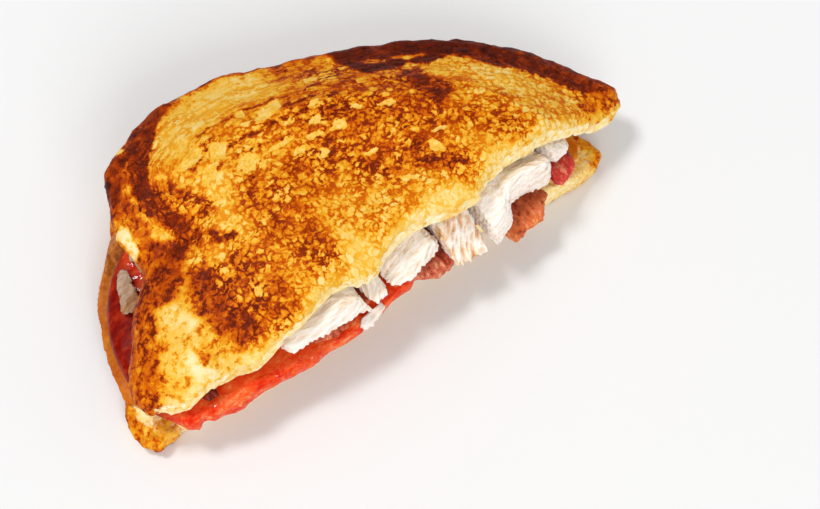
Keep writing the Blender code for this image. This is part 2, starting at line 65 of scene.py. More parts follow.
towards_camera = Vector((math.sin(CAMERA_AZIMUTH) * math.cos(CAMERA_HEIGHT_ANGLE),
                         -math.cos(CAMERA_AZIMUTH) * math.cos(CAMERA_HEIGHT_ANGLE),
                         math.sin(CAMERA_HEIGHT_ANGLE)))
picture_right = Vector((math.cos(CAMERA_AZIMUTH), math.sin(CAMERA_AZIMUTH), 0.0))
picture_up = towards_camera.cross(picture_right)
pixels_right = PICTURE[0] / 2.0 - POINT_SEEN_PIXEL[0]
pixels_down = PICTURE[1] / 2.0 - POINT_SEEN_PIXEL[1]
ahead = (picture_right * pixels_right - picture_up * pixels_down) / FOCAL_PIXELS - towards_camera
ahead.normalize()
across = ahead.cross(picture_up).normalized()
upright = across.cross(ahead)

camera = bpy.data.objects.new("camera", bpy.data.cameras.new("camera"))
camera.data.sensor_width = FILM_WIDTH
camera.data.lens = FILM_WIDTH * FOCAL_PIXELS / PICTURE[0]
camera.data.clip_start = 0.01
camera.matrix_world = (Matrix.Translation(POINT_SEEN + towards_camera * CAMERA_DISTANCE)
                       @ Matrix((across, upright, -ahead)).transposed().to_4x4())
bpy.context.scene.collection.objects.link(camera)
bpy.context.scene.camera = camera


# ---- The table and the light -------------------------------------------------------------------------
# A plain off-white table. One panel hangs above and behind it at the left, a wider one stands low before the
# cut, and an even light comes from all round. Colours are shown as they are, with no film curve over them.

TABLE_REACH = 3.0       # half the table's side, in metres
TABLE_WHITE = 0.86
ROOM_LIGHT = 0.46
LIGHTS = {  # where each panel hangs, its width in metres, and its power in watts
    "main_panel": ((-0.9, 1.12, 3.3), 0.75, 55.0),
    "cut_panel": ((-0.9, -2.3, 1.7), 1.8, 44.0),
}

bpy.context.scene.view_settings.view_transform = "Standard"
bpy.context.scene.world = bpy.data.worlds.new("room")
bpy.context.scene.world.use_nodes = True
room = bpy.context.scene.world.node_tree.nodes["Background"]
room.inputs["Color"].default_value = (1.0, 1.0, 1.0, 1.0)
room.inputs["Strength"].default_value = ROOM_LIGHT

for name, (place, width, power) in LIGHTS.items():
    panel = bpy.data.objects.new(name, bpy.data.lights.new(name, "AREA"))
    panel.data.size = width
    panel.data.energy = power
    panel.location = place
    panel.rotation_euler = (-Vector(place)).to_track_quat("-Z", "Y").to_euler()
    bpy.context.scene.collection.objects.link(panel)

table_mesh = bpy.data.meshes.new("table")
table_corners = [(x * TABLE_REACH, y * TABLE_REACH, 0.0) for x, y in ((-1, -1), (1, -1), (1, 1), (-1, 1))]
table_mesh.from_pydata(table_corners, [], [(0, 1, 2, 3)])
table = bpy.data.objects.new("table", table_mesh)
bpy.context.scene.collection.objects.link(table)
table_paint = bpy.data.materials.new("table_paint")
table_paint.use_nodes = True
table_surface = table_paint.node_tree.nodes["Principled BSDF"]
table_surface.inputs["Base Color"].default_value = (TABLE_WHITE, TABLE_WHITE, TABLE_WHITE, 1.0)
table_surface.inputs["Roughness"].default_value = 0.9
table_surface.inputs["Specular IOR Level"].default_value = 0.1
table_mesh.materials.append(table_paint)


# ---- Lower slice of bread ----------------------------------------------------------------------------
# A slice of farmhouse loaf toasted in butter on its underside. Its cut and its upper face are soft yellow
# crumb, its baked crust runs round the side, and at point A it shows as a rough, browned corner.

BREAD_GRAIN = 0.6       # spacing of the bread's skin of points
DRAWN_FROM = np.array([0.54, 0.3, 0.0])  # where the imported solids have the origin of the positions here
LOAF_CENTRE = np.array([0.0, -110.0])   # the crumb's cells lie in wide arcs round this point
LOAF_RADIUS = 130.0     # lengths along the arcs are taken this far from it
CRUST_WALL = 4.0        # the baked wall reaches this far in from the outline
CUT_STEP = 3.0          # how far in from the wavy cut a point lies is taken in steps this wide
LOWER_BROWNING = 0.46   # browning runs from 0, bare crumb, to 1, burnt
CORNER_A_BROWNING = 0.50
POINT_B_BROWNING = 0.25
TIP_B_BROWNING = 0.54


def smoothstep(value, low, high):
    """0 at low and 1 at high, with a soft step between. It falls where high is under low."""
    share = np.clip((value - low) / (high - low), 0.0, 1.0)
    return share * share * (3.0 - 2.0 * share)


def lumps(points, width, seed):
    """Smooth noise from -1 to 1. width is that of a lump, as one number or one for each direction."""
    return np.array([noise.noise(point) for point in (points / width + seed).tolist()])


def creases(points, width, seed):
    """Sharp ridges between wider valleys, from 0 to about 1, over three sizes."""
    total = np.zeros(len(points))
    for octave in range(3):
        ridge = 1.0 - np.abs(lumps(points, np.asarray(width) / 2.0 ** octave, seed + 7.3 * octave))
        total += ridge ** 3 / 2.0 ** octave
    return total / 1.75


def soft_copy(node, name, grain, smoothing):
    """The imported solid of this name, drawn again as an even skin of small faces with soft edges."""
    copy = bpy.data.objects.new(name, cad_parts[node].data.copy())
    copy.data.materials.clear()
    bpy.context.scene.collection.objects.link(copy)
    skin = copy.modifiers.new("skin", "REMESH")
    skin.mode = "VOXEL"
    skin.voxel_size = grain * MM
    soften = copy.modifiers.new("soften", "SMOOTH")
    soften.iterations = smoothing
    drawn = copy.evaluated_get(bpy.context.evaluated_depsgraph_get())
    mesh = bpy.data.meshes.new_from_object(drawn)
    copy.modifiers.clear()
    copy.data = mesh
    mesh.name = name
    return copy


def points_of(piece):
    flat = np.empty(3 * len(piece.data.vertices), np.float32)
    piece.data.vertices.foreach_get("co", flat)
    return flat.reshape(-1, 3).astype(float) / MM - DRAWN_FROM


def outward_of(piece):
    flat = np.empty(3 * len(piece.data.vertices), np.float32)
    piece.data.vertex_normals.foreach_get("vector", flat)
    return flat.reshape(-1, 3).astype(float)


def reshape(piece, points):
    """Moves the piece's points, keeps them off the table, and shades it smooth."""
    points[:, 2] = np.maximum(points[:, 2], 0.02)
    placed = (points + DRAWN_FROM) * MM
    piece.data.vertices.foreach_set("co", placed.astype(np.float32).reshape(-1))
    piece.data.update()
    piece.data.shade_smooth()


def mark(piece, name, values):
    """Keeps a value, or a vector, for each point of the piece, for its finish to read."""
    values = np.asarray(values, np.float32)
    kind, field = ("FLOAT_VECTOR", "vector") if values.ndim == 2 else ("FLOAT", "value")
    piece.data.attributes.new(name, kind, "POINT").data.foreach_set(field, values.reshape(-1))


def from_line(points, line):
    """How far each point, seen from above, lies from an open line of points, and how far along it."""
    line = np.array(line, float)
    nearest, along = np.full(len(points), 1e6), np.zeros(len(points))
    walked = 0.0
    for start, end in zip(line[:-1], line[1:]):
        step = end - start
        length = max(np.linalg.norm(step), 1e-6)
        share = np.clip(((points[:, :2] - start) @ step) / length ** 2, 0.0, 1.0)
        distance = np.linalg.norm(points[:, :2] - start - share[:, None] * step, axis=1)
        along = np.where(distance < nearest, walked + share * length, along)
        nearest = np.minimum(nearest, distance)
        walked += length
    return nearest, along


def crust_line(node, turns=150):
    """The crust's outline seen from above, from point B round the dome to point A."""
    plan = points_of(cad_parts[node])[:, :2]
    centre = np.array([-5.0, plan[:, 1].min() + 14.0])
    plan = plan - centre
    angle, reach = np.arctan2(plan[:, 1], plan[:, 0]), np.linalg.norm(plan, axis=1)
    line = []
    for turn in np.linspace(-0.17, math.pi + 0.17, turns):
        near = np.abs((angle - turn + math.pi) % (2.0 * math.pi) - math.pi) < 0.05
        line.append(centre + reach[near].max() * np.array([math.cos(turn), math.sin(turn)]))
    return np.array(line)


def srgb(red, green, blue):
    """A colour as a screen gives it, 0 to 255, as the amounts of light that the finish mixes."""
    shares = np.array([red, green, blue]) / 255.0
    light = np.where(shares > 0.04045, ((shares + 0.055) / 1.055) ** 2.4, shares / 12.92)
    return (*light.tolist(), 1.0)


class Tone:
    """A number, colour or place in a finish. Python's + - * on tones lays down the nodes that do it."""

    def __init__(self, tree, socket=None):
        self.tree = tree
        self.socket = socket

    def node(self, kind, settings, sockets, output=0):
        """One node of this kind, as the tone that it gives. sockets holds values, or tones to link."""
        made = self.tree.nodes.new("ShaderNode" + kind)
        for name, value in settings.items():
            if name != "stops":
                setattr(made, name, value)
                continue
            for number, (place, stop) in enumerate(value):
                if number > 1:
                    made.color_ramp.elements.new(place)
                made.color_ramp.elements[number].position = place
                made.color_ramp.elements[number].color = stop
        for name, value in sockets.items():
            if isinstance(value, Tone):
                self.tree.links.new(value.socket, made.inputs[name])
            else:
                made.inputs[name].default_value = value
        return Tone(self.tree, made.outputs[output])

    def maths(self, operation, *values):
        return self.node("Math", {"operation": operation}, dict(enumerate(values)))

    def __add__(self, other):
        return self.maths("ADD", self, other)

    def __sub__(self, other):
        return self.maths("SUBTRACT", self, other)

    def __rsub__(self, other):
        return self.maths("SUBTRACT", other, self)

    def __mul__(self, other):
        return self.maths("MULTIPLY", self, other)

    __radd__ = __add__
    __rmul__ = __mul__

    def rise(self, low, high):
        """0 below low and 1 above high, with a soft step between. It falls where high is under low."""
        if high < low:
            return 1.0 - self.rise(high, low)
        return self.node("MapRange", {"interpolation_type": "SMOOTHSTEP"}, {0: self, 1: low, 2: high})

    def at_least(self, least):
        return self.maths("MAXIMUM", self, least)

    def at_most(self, most):
        return self.maths("MINIMUM", self, most)

    def between(self, first, second):
        """The first colour where this is 0, the second where it is 1."""
        return self.node("Mix", {"data_type": "RGBA"}, {0: self, 6: first, 7: second}, 2)

    def colours(self, *stops):
        return self.node("ValToRGB", {"stops": stops}, {0: self})

    def marked(self, name, output=2):
        """What mark() kept under this name: a number, or with output 1 a vector."""
        return self.node("Attribute", {"attribute_name": name}, {}, output)

    def place(self):
        """Where the surface is, in millimetres."""
        spot = self.node("TexCoord", {}, {}, 3)
        return spot.node("VectorMath", {"operation": "SCALE"}, {0: spot, 3: 1.0 / MM})

    def moved(self, other, amount):
        """This place pushed about by a colour of noise, by up to half the amount each way."""
        centred = self.node("VectorMath", {"operation": "SUBTRACT"}, {0: other, 1: (0.5, 0.5, 0.5)})
        pushed = self.node("VectorMath", {"operation": "SCALE"}, {0: centred, 3: amount})
        return self.node("VectorMath", {"operation": "ADD"}, {0: self, 1: pushed})

    def stretched(self, x, y, z):
        return self.node("VectorMath", {"operation": "MULTIPLY"}, {0: self, 1: (x, y, z)})

    def cloud(self, width, detail=3.0, rough=0.6, output=0):
        """Noise about 0.5, whose lumps have this width. With output 1 it is a colour, to push a place by."""
        return self.node("TexNoise", {}, {"Vector": self, "Scale": 1.0 / width, "Detail": detail,
                                          "Roughness": rough}, output)

    def borders(self, width):
        """Distance from the borders of cells of this width, 0 at the border and about 0.3 in the middle."""
        return self.node("TexVoronoi", {"feature": "DISTANCE_TO_EDGE"},
                         {"Vector": self, "Scale": 1.0 / width})

    def cell_middles(self, width):
        """The middle of the cell of this width that the place lies in, melting over at the cell's border."""
        return self.node("TexVoronoi", {"feature": "SMOOTH_F1"},
                         {"Vector": self, "Scale": 1.0 / width, "Smoothness": 0.25}, 2)

    def bump(self, depth, strength):
        """This height, where 1 stands depth millimetres high, as a surface normal."""
        return self.node("Bump", {}, {"Height": self, "Distance": depth * MM, "Strength": strength})

    def feeds(self, surface, name):
        self.tree.links.new(self.socket, surface.inputs[name])


def new_finish(piece, name, roughness, gloss):
    """A material for the piece, the tone that its colours start from, and its surface."""
    material = bpy.data.materials.new(name)
    material.use_nodes = True
    surface = material.node_tree.nodes["Principled BSDF"]
    surface.inputs["Roughness"].default_value = roughness
    surface.inputs["Specular IOR Level"].default_value = gloss
    piece.data.materials.append(material)
    return Tone(material.node_tree), surface


BROWNING = [  # from buttered crumb that never met the pan to burnt crust
    (0.00, srgb(250, 232, 188)), (0.12, srgb(246, 212, 130)), (0.25, srgb(241, 188, 66)),
    (0.36, srgb(233, 158, 28)), (0.48, srgb(216, 114, 8)), (0.60, srgb(194, 82, 4)),
    (0.72, srgb(158, 54, 5)), (0.86, srgb(102, 30, 8)), (1.00, srgb(54, 16, 10)),
]
CRUMB = [(0.25, srgb(222, 160, 72)), (0.38, srgb(246, 206, 116)), (0.52, srgb(252, 228, 160)),
         (0.72, srgb(255, 244, 214))]

CELL = 2.0              # width of a crumb cell on the toasted face
NET_MOST = 0.56         # how much browner than the bread round it the net may get


def toast_finish(piece, name):
    """Butter-fried bread: soft pale cells in a browner net, by the heat marked on it, and raw crumb."""
    start, surface = new_finish(piece, name, 0.55, 0.04)
    place, push = start.place(), start.place().cloud(3.0, 3.0, 0.55, 1)
    ruffle = place.cloud(0.9, 2.0, 0.6, 1)
    arcs = start.marked("grain", 1).moved(push, 2.4).moved(ruffle, 0.9)
    along_rim = start.marked("rim_grain", 1).moved(push, 2.4).moved(ruffle, 0.9)
    heat, crumb, pale = start.marked("browning"), start.marked("crumb"), start.marked("pale")
    dome, rim = start.marked("under_dome"), start.marked("rim")
    long_cells, round_cells = along_rim.stretched(0.42, 1.0, 0.8), arcs.stretched(0.8, 1.0, 0.8)
    walls = (dome * long_cells.borders(CELL).rise(0.24, 0.0)
             + (1.0 - dome) * round_cells.borders(CELL).rise(0.26, 0.0)) * (1.0 - rim)
    patches = (dome * long_cells.cell_middles(CELL).cloud(3.2, 2.0, 0.6)
               + (1.0 - dome) * round_cells.cell_middles(CELL).stretched(0.55, 1.0, 1.0).cloud(3.2, 2.0, 0.6))
    patches = patches + (place.cloud(2.4, 4.0, 0.65) - patches) * rim
    blots = (dome * along_rim.stretched(0.36, 1.0, 0.7).cloud(1.4, 3.0, 0.6)
             + (1.0 - dome) * arcs.stretched(0.5, 1.0, 0.7).cloud(1.4, 3.0, 0.6))
    long_lines = along_rim.stretched(0.14, 1.0, 0.7).cloud(1.5, 2.0, 0.55).rise(0.55, 0.64)
    long_lines = long_lines * dome * (1.0 - rim)
    mottle = place.cloud(3.4, 5.0, 0.6) - 0.5
    speckle = place.cloud(0.8, 2.0, 0.6) - 0.5
    singed = place.cloud(1.8, 2.0, 0.6).rise(0.40, 0.62)
    net = ((patches - 0.5) * 1.9 + walls * (0.22 + singed * 0.75) + (blots - 0.5) * 0.8
           + blots.rise(0.55, 0.62) * 0.6 + long_lines * 0.6 + mottle * 0.8
           + speckle * 0.9 - 0.25).at_most(NET_MOST)
    well_toasted = place.cloud(8.0, 2.0, 0.5).rise(0.36, 0.60)
    swing = (heat * heat * (1.0 - heat) * 3.0 + 0.12) * (1.0 - rim * 0.3) * (0.8 + well_toasted * 0.35)
    flecks = place.cloud(2.4, 3.0, 0.6).rise(0.55, 0.63) * rim * 0.16
    darkest = heat.at_least(0.84) + (speckle + mottle) * 0.35
    browned = (heat + swing * net + flecks).at_least(heat * 0.42).at_most(darkest)
    open_cell = (pale + speckle * 0.6 + mottle * 0.6 + (patches - 0.5) * -1.2).rise(0.3, 0.7)
    browned = browned + (0.22 + speckle * 0.4 + mottle * 0.4 - browned) * open_cell
    toast = browned.colours(*BROWNING)
    pores = place.cloud(1.3, 4.0, 0.6) + place.cloud(6.0, 1.0, 0.5) * 0.4 - 0.16
    raw = pores.colours(*CRUMB)
    torn = (crumb + speckle * 0.7).rise(0.35, 0.65)
    torn.between(toast, raw).feeds(surface, "Base Color")
    height = (browned * 0.5 + speckle * 0.5) + torn * (pores - browned * 0.5)
    height.bump(0.35, 0.6).feeds(surface, "Normal")
    (0.55 - browned * 0.16 + torn * 0.3).feeds(surface, "Roughness")


def bread_marks(piece, node):
    """Where each point of a slice lies: in from its crust and its cut, and along the crust's own grain.

    It also marks the grain, the part under the dome and the rim, for toast_finish to read.
    """
    points, outward = points_of(piece), outward_of(piece)
    from_crust, along_crust = from_line(points, crust_line(node))
    column = ((points[:, 0] - points[:, 0].min()) / CUT_STEP).astype(int)
    cut_line = np.full(column.max() + 1, 1e6)
    np.minimum.at(cut_line, column, points[:, 1])
    middles = points[:, 0].min() + CUT_STEP * (np.arange(len(cut_line)) + 0.5)
    from_cut = points[:, 1] - np.interp(points[:, 0], middles, cut_line)
    plan = points[:, :2] - LOAF_CENTRE
    round_loaf = np.arctan2(plan[:, 1], plan[:, 0]) * LOAF_RADIUS
    mark(piece, "grain", np.stack([round_loaf, np.linalg.norm(plan, axis=1), points[:, 2]], 1))
    rim_grain = np.stack([along_crust, from_crust, points[:, 2]], 1)
    mark(piece, "rim_grain", rim_grain)
    mark(piece, "under_dome", smoothstep(from_crust, 26.0, 10.0) * smoothstep(points[:, 1], 5.0, 15.0))
    left_end = smoothstep(points[:, 0] + 3.0 * lumps(points, 8.0, 31.0), -44.0, -50.0)
    mark(piece, "rim", np.maximum(smoothstep(from_crust, 9.0, 4.5), left_end))
    return points, outward, from_crust, from_cut, rim_grain


def crust_relief(points, grain):
    """The creases of the baked crust, in millimetres in or out of its face."""
    return (creases(grain, (7.0, 2.4, 3.0), 1.0) - 0.55) * 0.45 + 0.3 * lumps(points, 3.2, 2.0)


def torn_pits(points):
    """How far in the crumb is torn away at each point, in millimetres, with inwards below zero."""
    wide = smoothstep(lumps(points, 2.6, 6.0), 0.05, 0.5)
    narrow = smoothstep(lumps(points, 1.2, 9.0), 0.1, 0.5)
    return -0.9 * wide - 0.4 * narrow


bread_lower = soft_copy("bread_lower", "toast_lower", BREAD_GRAIN, 4)
points, outward, from_crust, from_cut, grain = bread_marks(bread_lower, "bread_lower")
ragged = lumps(points, 2.2, 3.0) * 0.35 + lumps(points, 0.9, 5.0) * 0.2
on_cut = (smoothstep(-outward[:, 1] + ragged, 0.35, 0.75) * smoothstep(from_cut, 7.0, 5.0)
          * smoothstep(from_crust, 1.0, 3.0))
upper_face = smoothstep(outward[:, 2], 0.3, 0.7)
raw = np.maximum(on_cut, upper_face * smoothstep(from_crust, 2.0, 4.5))
wall = smoothstep(from_crust, CRUST_WALL, 1.0) * (1.0 - on_cut)
corner_a = smoothstep(points[:, 0], -60.0, -72.0) * smoothstep(from_cut, 12.0, 4.0)
point_b = smoothstep(points[:, 0], 42.0, 60.0)
heat = (LOWER_BROWNING + 0.12 * lumps(points, 9.0, 2.0)
        + wall * (0.12 + 0.2 * lumps(grain, (5.0, 2.0, 3.0), 8.0))
        + 0.2 * smoothstep(points[:, 2], 2.2, 0.2))
heat += (CORNER_A_BROWNING + 0.3 * lumps(points, 2.2, 16.0) - heat) * corner_a * (1.0 - 0.4 * wall)
heat += (POINT_B_BROWNING + 0.2 * lumps(points, 4.0, 17.0) - heat) * point_b * (1.0 - 0.6 * wall)
tip_b = smoothstep(points[:, 0] + 1.5 * lumps(points, 3.0, 18.0), 61.0, 64.5)
heat += (TIP_B_BROWNING - heat) * tip_b
relief = crust_relief(points, grain) * wall
torn = torn_pits(points)
rough_face = 0.3 * lumps(points, 3.0, 7.0)
off_table = smoothstep(points[:, 2], 0.2, 1.4)
crumbly = 1.1 * lumps(points, 2.0, 11.0) + 0.6 * lumps(points, 1.0, 12.0)
push = (relief + torn * raw * (1.0 - corner_a) + rough_face + corner_a * crumbly) * off_table
reshape(bread_lower, points + outward * push[:, None])
mark(bread_lower, "browning", np.clip(heat, 0.0, 1.0))
mark(bread_lower, "crumb", raw * (1.0 - 0.62 * corner_a) * (1.0 - 0.55 * point_b) * (1.0 - 0.7 * tip_b))
mark(bread_lower, "pale", np.zeros(len(points)))
toast_finish(bread_lower, "toasted_lower")
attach(bread_lower, "root")
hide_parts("bread_lower")


# ---- Cheese ------------------------------------------------------------------------------------------
# One sheet of orange cheddar, melted over the lower slice. It hangs out over the notch at the left, where
# its edge rolled back on itself, and its cut edge shows under the tomato. In the notch it is painted a darker
# brown-orange as painted shade, most along the top of the roll.

cheese = soft_copy("cheese_slice", "melted_cheese", 0.45, 3)
points, outward = points_of(cheese), outward_of(cheese)
run = 0.22 * lumps(points, (6.0, 6.0, 3.0), 1.0) + 0.1 * lumps(points, 1.8, 2.0)
reshape(cheese, points + outward * run[:, None])
# In the notch the cheese is painted darker as painted shade, most along the top of the rolled edge.
in_notch = smoothstep(points[:, 1], -14.0, -4.0) * smoothstep(points[:, 0], -50.0, -56.0)
mark(cheese, "notch_shade_on_cheese", in_notch * (0.4 + 0.6 * smoothstep(points[:, 2], 9.0, 12.0)))
start, surface = new_finish(cheese, "cheddar", 0.4, 0.12)
place = start.place()
melt = place.cloud(5.0, 3.0, 0.55)
# How much painted shade of the notch falls on each point, broken up by noise.
notch_shade_on_cheese = (start.marked("notch_shade_on_cheese") + place.cloud(2.0) * 0.6 - 0.3).rise(0.1, 0.8)
soft = melt.colours((0.3, srgb(184, 80, 2)), (0.5, srgb(204, 106, 6)), (0.7, srgb(226, 144, 26)))
# The darker browns of that painted shade.
baked = place.cloud(1.6).colours((0.35, srgb(136, 66, 18)), (0.6, srgb(196, 118, 48)))
notch_shade_on_cheese.between(soft, baked).feeds(surface, "Base Color")
(place.cloud(0.9, 2.0) * 0.6 + melt).bump(0.25, 0.6).feeds(surface, "Normal")
surface.inputs["Subsurface Weight"].default_value = 0.12
surface.inputs["Subsurface Radius"].default_value = (1.0, 0.5, 0.2)
surface.inputs["Subsurface Scale"].default_value = 1.5 * MM
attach(cheese, "root")
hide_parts("cheese_slice")


# ---- Tomato ------------------------------------------------------------------------------------------
# One slice across a big tomato, warm and wet. Its cut edge stands out of the bread: pale veins in soft
# orange-red flesh, ragged below. The skin runs round its rim, and the side in the notch is painted in the
# skin's dark reds as painted shade.

TOMATO_MIDDLE = np.array([-34.1, -18.0])
TOMATO_RADIUS = 40.0

tomato = soft_copy("tomato_slice", "tomato", 0.45, 3)
points, outward = points_of(tomato), outward_of(tomato)
from_middle = np.linalg.norm(points[:, :2] - TOMATO_MIDDLE, axis=1)
on_cut = smoothstep(-outward[:, 1], 0.3, 0.7) * smoothstep(points[:, 1], -31.0, -34.0)
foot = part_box("tomato_slice")[0].z / MM
under_edge = smoothstep(points[:, 2], foot + 3.4, foot + 1.0)
flesh = 0.4 * lumps(points, (3.4, 2.0, 2.0), 3.0) + 0.22 * lumps(points, 1.3, 4.0)
ragged = 0.5 * lumps(points, (1.8, 1.8, 3.0), 8.0) * under_edge
push = (flesh + ragged) * (0.35 + 0.65 * on_cut)
reshape(tomato, points + outward * push[:, None])
in_notch = smoothstep(points[:, 0], -52.0, -60.0) * smoothstep(points[:, 1], -30.0, -24.0)
rim = smoothstep(from_middle, TOMATO_RADIUS - 2.6, TOMATO_RADIUS - 0.6)
# Real skin round the rim, and the side in the notch, darkened to the skin's reds as painted shade.
skin = np.maximum(rim, in_notch) * (1.0 - on_cut)
mark(tomato, "skin", skin)
start, surface = new_finish(tomato, "tomato_flesh", 0.38, 0.05)
place = start.place()
veins = place.stretched(0.5, 1.0, 1.0).cloud(2.6, 3.0, 0.6)
grainy = place.cloud(0.8, 3.0, 0.6)
flesh = (veins + (grainy - 0.5) * 0.35).colours(
    (0.28, srgb(214, 34, 8)), (0.44, srgb(232, 66, 20)),
    (0.60, srgb(240, 98, 42)), (0.76, srgb(246, 158, 96)))
# The skin's dark reds, also painted on the notch side as painted shade.
skin = veins.colours((0.3, srgb(104, 4, 0)), (0.5, srgb(140, 16, 2)), (0.7, srgb(178, 48, 10)))
start.marked("skin").between(flesh, skin).feeds(surface, "Base Color")
(grainy * 0.5 + veins).bump(0.3, 0.7).feeds(surface, "Normal")
surface.inputs["Subsurface Weight"].default_value = 0.15
surface.inputs["Subsurface Radius"].default_value = (1.0, 0.25, 0.1)
surface.inputs["Subsurface Scale"].default_value = 2.0 * MM
(grainy.rise(0.50, 0.60) * 0.9 * (1.0 - start.marked("skin") * 0.97)).feeds(surface, "Coat Weight")
surface.inputs["Coat Roughness"].default_value = 0.05
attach(tomato, "root")
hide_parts("tomato_slice")


# ---- Bacon -------------------------------------------------------------------------------------------
# Crisp rashers, laid front to back over the tomato. Lean pink-brown meat alternates with paler streaks of
# fat along each rasher, and each is painted darker red further in, where it goes under the other pieces, as
# painted shade.

RASHERS = {  # its lean meat where dark, its lean meat where light, and its streaks of fat
    "bacon_left": ((140, 38, 18), (204, 88, 50), (232, 158, 100)),
    "bacon_middle": ((152, 48, 28), (208, 100, 70), (234, 164, 120)),
    "bacon_right": ((150, 52, 18), (216, 104, 50), (236, 154, 92)),
    "bacon_point_b": ((164, 22, 20), (214, 60, 50), (240, 138, 102)),
    "bacon_point_a": ((70, 8, 4), (120, 22, 8), (172, 66, 28)),
}

for number, (node, (dark, lean, fat)) in enumerate(RASHERS.items()):
    rasher = soft_copy(node, "rasher_" + node[6:], 0.4, 2)
    points, outward = points_of(rasher), outward_of(rasher)
    ripple = 0.5 * lumps(points, (1.8, 5.0, 3.0), 20.0 + number) + 0.3 * lumps(points, 1.0, 30.0 + number)
    reshape(rasher, points + outward * ripple[:, None])
    front = points[:, 1].min()
    # Painted shade: each rasher darkens further in from its front, where it goes under the other pieces.
    ragged_depth = points[:, 1] + 1.5 * lumps(points, 3.0, 26.0)
    mark(rasher, "tucked_in_shade", smoothstep(ragged_depth, front + 3.5, front + 7.5))
    start, surface = new_finish(rasher, node + "_meat", 0.4, 0.25)
    place = start.place()
    bent = place.moved(place.cloud(5.0, 2.0, 0.5, 1), 3.0)
    streaks = bent.stretched(1.0, 0.2, 0.8).cloud(1.5, 4.0, 0.65)
    meat = (streaks + (place.cloud(1.4, 3.0) - 0.5) * 0.5).colours(
        (0.36, srgb(*dark)), (0.46, srgb(*lean)), (0.54, srgb(*lean)), (0.66, srgb(*fat)))
    # Mixes the meat towards deep red as painted shade where it goes in under the other pieces.
    (start.marked("tucked_in_shade") * 0.6).between(meat, srgb(104, 12, 6)).feeds(surface, "Base Color")
    (streaks + place.cloud(0.6, 2.0) * 0.4).bump(0.35, 0.7).feeds(surface, "Normal")
    surface.inputs["Coat Weight"].default_value = 0.12
    surface.inputs["Coat Roughness"].default_value = 0.15
    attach(rasher, "root")
    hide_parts(node)


# ---- Chicken -----------------------------------------------------------------------------------------
# Slices and torn pieces of grilled breast. The white meat pulls apart in fibres, each piece its own way,
# with buttery tan stains in the grooves and on the torn edges. The grooves are also painted darker as
# painted shade, and the pieces in the notch are painted a dull brown as painted shade.

BREAST = {  # fibres' direction, groove depth, how stained the meat is, and how much painted shade darkens it
    "chicken_notch": ((0.4, 0.9, 0.3), 1.2, 0.8, 0.34),
    "chicken_scraps": ((0.9, 0.1, 0.3), 1.0, 0.7, 0.5),
    "chicken_long_slice": ((0.97, -0.15, 0.22), 0.4, 0.05, 0.0),
    "chicken_claw": ((0.45, 0.78, 0.44), 0.8, 0.2, 0.0),
    "chicken_chunk": ((0.9, 0.26, 0.36), 0.5, 0.12, 0.0),
    "chicken_shreds": ((0.41, 0.81, 0.44), 1.1, 0.6, 0.0),
    "chicken_torn_slice": ((0.96, -0.04, 0.26), 0.5, 0.2, 0.0),
    "chicken_point_b": ((0.96, -0.04, 0.26), 0.4, 0.2, 0.0),
    "chicken_flake": ((0.9, 0.2, 0.2), 0.2, 0.1, 0.0),
}
WHITE_MEAT = [(0.24, (214, 176, 146)), (0.38, (241, 220, 200)), (0.56, (253, 243, 235))]
TAN_MEAT = [(0.28, (190, 112, 56)), (0.45, (232, 178, 116)), (0.65, (248, 216, 170))]
# The dull dark brown painted over the pieces in the notch as painted shade.
NOTCH_SHADE_BROWN = np.array([118, 82, 54])


def with_notch_shade(stops, shade_in_notch):
    """Colour stops mixed with the dark brown of painted shade: not at all where the amount is 0, and fully at
    1.
    """
    return [(place, srgb(*(np.array(shade) * (1.0 - shade_in_notch) + NOTCH_SHADE_BROWN * shade_in_notch))) for place, shade in stops]


def along_fibres(points, direction, stretch):
    """The points squeezed along a direction, so that noise over them runs out in long fibres."""
    along = points @ direction
    return points - np.outer(along, direction) * (1.0 - 1.0 / stretch)


